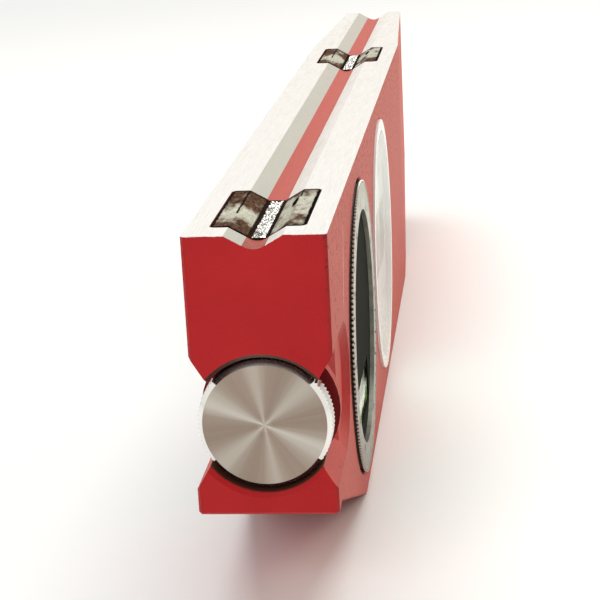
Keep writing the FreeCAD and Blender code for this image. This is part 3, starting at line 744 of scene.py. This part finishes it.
def make_clear(name, colour, index, roughness=0.02):
    """Clear material that bends what is seen through it and lets the lamps shine in."""
    clear = Finish(name)
    haze = clear.noise(700.0, 3.0)
    clear.principled(Base_Color=colour, Roughness=clear.steps(haze, 0.3, 0.8, roughness,
                                                              roughness + 0.04),
                     IOR=index)
    clear.surface.inputs["Transmission Weight"].default_value = 1.0
    path = clear.node("ShaderNodeLightPath", {}).outputs
    lighting = clear.math("MAXIMUM", path["Is Shadow Ray"], path["Is Diffuse Ray"])
    passing = clear.node("ShaderNodeBsdfTransparent", {"Color": colour})
    mixed = clear.node("ShaderNodeMixShader", {0: lighting, 1: clear.surface.outputs[0],
                                               2: passing.outputs[0]})
    clear.feed(clear.output.inputs[0], mixed.outputs[0])
    return clear


acrylic = make_clear("vial_acrylic", (0.90, 0.97, 0.90), ACRYLIC_INDEX)
gas = make_clear("vial_bubble", (1.0, 1.0, 1.0), 1.0 / LIQUID_INDEX)
spirit = make_clear("vial_liquid", (0.55, 0.80, 0.16), LIQUID_INDEX)
dress(acrylic, "dial_vial", "level_vial")

# %% [markdown]
# ## Covers over the level vial
#
# A flat cover hardly bends what lies behind it, it only adds a reflection that grows
# towards a flat angle. Solid glass would lose most of the light on its way to the vial
# and back, so a see-through shader with a share of gloss is used. The covers are turned
# again with a rounded edge, and their backs stay a hair off the housing and the vial.

# %% Level covers
COVER_EDGE = 0.3 * MM
COVER_LIFT = 0.03 * MM
COVER_TURNS = 96
GLOSS_FACE_ON = 0.04
GLOSS_GAIN = 0.5


def make_cover_finish():
    """Clear plastic: gloss grows with the fourth power of the share turned away."""
    cover = Finish("lens_clear")
    away = cover.node("ShaderNodeLayerWeight", {"Blend": 0.5}).outputs["Facing"]
    share = cover.math("MULTIPLY_ADD", cover.math("POWER", away, 4.0),
                       GLOSS_GAIN, GLOSS_FACE_ON)
    clear = cover.node("ShaderNodeBsdfTransparent", {"Color": (0.97, 0.98, 0.97)})
    mixed = cover.node("ShaderNodeMixShader", {0: share, 1: clear.outputs[0],
                                               2: cover.surface.outputs[0]})
    cover.principled(Base_Color=(0.92, 0.93, 0.92), Roughness=0.04, Metallic=1.0)
    cover.feed(cover.output.inputs[0], mixed.outputs[0])
    return cover


def make_cover(side, finish):
    """Disc about X whose outer edge is a quarter circle."""
    name = "right" if side > 0 else "left"
    low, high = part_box("level_lens_" + name)
    top = max(abs(low.x), abs(high.x))
    back = min(abs(low.x), abs(high.x)) + COVER_LIFT
    edge_r = (high.z - low.z) / 2
    turn = np.linspace(0, math.pi / 2, 7)
    radius = np.concatenate([[0.0], edge_r - COVER_EDGE * (1 - np.sin(turn)), [edge_r, 0.0]])
    height = np.concatenate([[top], top - COVER_EDGE * (1 - np.cos(turn)), [back, back]])
    angle = np.linspace(0, 2 * math.pi, COVER_TURNS, endpoint=False) * side
    ring_r, ring_a = np.meshgrid(radius, angle, indexing="ij")
    x = np.repeat(side * height[:, None], len(angle), axis=1)
    points = np.stack([x, (low.y + high.y) / 2 + ring_r * np.cos(ring_a),
                       (low.z + high.z) / 2 + ring_r * np.sin(ring_a)], -1)
    faces = grid_faces(len(radius), len(angle), wrap_columns=True)[:, ::-1]
    piece = make_piece("level_cover_" + name, points, faces, finish, "frame",
                       smooth=False)
    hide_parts("level_lens_" + name)


cover_finish = make_cover_finish()
for side in (1, -1):
    make_cover(side, cover_finish)

# %% Liquid and bubble surfaces
LIQUID_GROWTH = 0.02 * MM
BARREL_SWELL = 0.15 * MM
LINE_INSET = 0.06 * MM
LINE_GAP = 0.4 * MM
LINE_WIDTH = 0.3 * MM
LINE_DEPTH = 0.08 * MM


def revolve(radius, along, centre_x, centre_z, turns=48):
    """Surface of revolution about an axis along Y: radius(t) swept round the circle."""
    angle = np.linspace(0, 2 * math.pi, turns, endpoint=False)
    ring_r, ring_a = np.meshgrid(radius, angle, indexing="ij")
    y = np.repeat(along[:, None], turns, axis=1)
    points = np.stack([centre_x + ring_r * np.cos(ring_a), y,
                       centre_z - ring_r * np.sin(ring_a)], -1)
    return points, grid_faces(len(along), turns, wrap_columns=True)


def make_liquid(unit, body, finish):
    """Barrel: the radius falls off with the square of the distance from the middle."""
    low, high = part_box(unit + "_liquid")
    middle_r = (high.x - low.x) / 2 + LIQUID_GROWTH
    t = np.linspace(-1, 1, 33)
    along = (low.y + high.y) / 2 + t * ((high.y - low.y) / 2 + LIQUID_GROWTH)
    radius = middle_r - BARREL_SWELL * t ** 2
    radius = np.concatenate([[0.0], radius, [0.0]])
    along = np.concatenate([along[:1], along, along[-1:]])
    points, faces = revolve(radius, along, 0.0, (low.z + high.z) / 2)
    piece = make_piece(unit + "_spirit", points, faces, finish, body)
    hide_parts(unit + "_liquid")


def make_lines(unit, body):
    """Two black hoops round the bore, a little further apart than the bubble is long."""
    low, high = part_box(unit + "_liquid")
    bubble_low, bubble_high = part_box(unit + "_bubble")
    middle_r = (high.x - low.x) / 2 + LINE_INSET
    centre_y = (bubble_low.y + bubble_high.y) / 2
    away = (bubble_high.y - bubble_low.y) / 2 + LINE_GAP
    for number, side in enumerate((-1, 1)):
        start = centre_y + side * away
        along = start + side * LINE_WIDTH * np.array([0.0, 0.0, 1.0, 1.0, 0.0])
        radius = middle_r + LINE_DEPTH * np.array([0.0, 1.0, 1.0, 0.0, 0.0])
        points, faces = revolve(radius, along, 0.0, (low.z + high.z) / 2)
        outward = faces if side > 0 else faces[:, ::-1]
        make_piece("%s_line_%d" % (unit, number + 1), points, outward, black, body,
                   smooth=False)


def make_bubble(unit, body):
    """Capsule: half circles at both ends of a straight stretch, turned round its axis."""
    low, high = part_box(unit + "_bubble")
    radius = (high.x - low.x) / 2
    reach = (high.y - low.y) / 2 - radius
    turn = np.linspace(0, math.pi / 2, 12)
    half_along = reach + radius * np.sin(turn)
    half_radius = radius * np.cos(turn)
    along = np.concatenate([-half_along[::-1], half_along]) + (low.y + high.y) / 2
    swept = np.concatenate([half_radius[::-1], half_radius])
    points, faces = revolve(swept, along, 0.0, (low.z + high.z) / 2)
    piece = make_piece(unit + "_gas", points, faces, gas, body)
    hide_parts(unit + "_bubble")


for unit, body in (("dial", "dial"), ("level", "frame")):
    make_liquid(unit, body, spirit)
    make_lines(unit, body)
    make_bubble(unit, body)

# %% [markdown]
# ## Floor, light and camera
#
# The picture is high-key: white all round, soft light from above and behind, and less
# light on the end that faces the camera. The floor stays a pale grey that still shows
# the object's shadow, and turns into the white backdrop further off. Metal mirrors that
# backdrop a little warmer. The camera stands where the photograph was taken from.

# %% Floor and world
MIRRORED_WHITE = (1.0, 0.98, 0.94)


def make_floor():
    """Plain pale floor under the level, that turns into the white backdrop further off."""
    size = 6.0
    points = np.array([[-size, -size, 0], [size, -size, 0], [size, size, 0], [-size, size, 0]])
    mesh = bpy.data.meshes.new("floor")
    mesh.from_pydata(points.tolist(), [], [(0, 1, 2, 3)])
    pale = Finish("floor_pale")
    pale.principled(Base_Color=(0.87, 0.88, 0.86), Roughness=1.0)
    pale.surface.inputs["Specular IOR Level"].default_value = 0.0
    path = pale.node("ShaderNodeLightPath", {}).outputs
    seen = pale.math("MAXIMUM", path["Is Camera Ray"], path["Is Glossy Ray"])
    seen = pale.math("MAXIMUM", seen, path["Is Transmission Ray"])
    distance = pale.steps(pale.hypotenuse(pale.x, pale.y), 0.35, 1.1)
    backdrop = pale.mix(path["Is Glossy Ray"], (1.0, 1.0, 1.0), MIRRORED_WHITE)
    white = pale.node("ShaderNodeEmission", {"Color": backdrop, "Strength": 1.0})
    mixed = pale.node("ShaderNodeMixShader", {0: pale.math("MULTIPLY", distance, seen),
                                              1: pale.surface.outputs[0], 2: white.outputs[0]})
    pale.feed(pale.output.inputs[0], mixed.outputs[0])
    mesh.materials.append(pale.material)
    floor = bpy.data.objects.new("floor", mesh)
    bpy.context.scene.collection.objects.link(floor)


def make_world():
    """Soft ambient light, and white wherever the camera or a mirror looks past the floor."""
    world = bpy.data.worlds.new("studio")
    world.use_nodes = True
    nodes, links = world.node_tree.nodes, world.node_tree.links
    background = nodes["Background"]
    path = nodes.new("ShaderNodeLightPath")
    tint = nodes.new("ShaderNodeMix")
    tint.data_type = "RGBA"
    links.new(path.outputs["Is Glossy Ray"], tint.inputs[0])
    tint.inputs[6].default_value = (1.0, 1.0, 1.0, 1.0)
    tint.inputs[7].default_value = (*MIRRORED_WHITE, 1.0)
    links.new(tint.outputs[2], background.inputs[0])
    seen = nodes.new("ShaderNodeMath")
    seen.operation = "MAXIMUM"
    links.new(path.outputs["Is Camera Ray"], seen.inputs[0])
    links.new(path.outputs["Is Glossy Ray"], seen.inputs[1])
    clear = nodes.new("ShaderNodeMath")
    clear.operation = "MAXIMUM"
    links.new(seen.outputs[0], clear.inputs[0])
    links.new(path.outputs["Is Transmission Ray"], clear.inputs[1])
    level = nodes.new("ShaderNodeMapRange")
    level.inputs[3].default_value = 0.30
    level.inputs[4].default_value = 1.0
    links.new(clear.outputs[0], level.inputs[0])
    links.new(level.outputs[0], background.inputs[1])
    bpy.context.scene.world = world


def add_softbox(name, place, target, size, power, colour=(1.0, 1.0, 1.0)):
    """Square area lamp that points at a target."""
    lamp = bpy.data.lights.new(name, "AREA")
    lamp.size = size
    lamp.energy = power
    lamp.color = colour
    holder = bpy.data.objects.new(name, lamp)
    holder.location = place
    holder.rotation_euler = (Vector(target) - Vector(place)).to_track_quat("-Z", "Y").to_euler()
    bpy.context.scene.collection.objects.link(holder)


make_floor()
make_world()
MIDDLE = (0.0, -0.03, 0.03)
add_softbox("overhead", (0.0, 0.2, 0.9), MIDDLE, 0.9, 8.5)
add_softbox("right_side", (0.8, 0.7, 0.45), MIDDLE, 0.6, 5.3, (1.0, 0.86, 0.66))
add_softbox("front_fill", (-0.35, -0.9, 0.5), MIDDLE, 0.6, 4.0)
bpy.context.scene.view_settings.view_transform = "Standard"

# %% Camera
CAMERA_PLACE = (0.032665, -0.344793, 0.111625)
CAMERA_TURN = math.radians(6.93)
CAMERA_DROP = math.radians(16.07)
CAMERA_ROLL = math.radians(2.96)
PHOTO_FOCAL = 1704.1
PHOTO_SIZE = 600
SENSOR = 36.0


def make_camera():
    """Camera at the photograph's place: turned to the left, tilted down, rolled a little."""
    data = bpy.data.cameras.new("photo_camera")
    data.sensor_width = SENSOR
    data.lens = SENSOR * PHOTO_FOCAL / PHOTO_SIZE
    data.clip_start = 0.01
    camera = bpy.data.objects.new("photo_camera", data)
    look = (Matrix.Rotation(CAMERA_TURN, 4, "Z")
            @ Matrix.Rotation(math.pi / 2 - CAMERA_DROP, 4, "X")
            @ Matrix.Rotation(-CAMERA_ROLL, 4, "Z"))
    camera.matrix_world = Matrix.Translation(CAMERA_PLACE) @ look
    bpy.context.scene.collection.objects.link(camera)
    bpy.context.scene.camera = camera


make_camera()
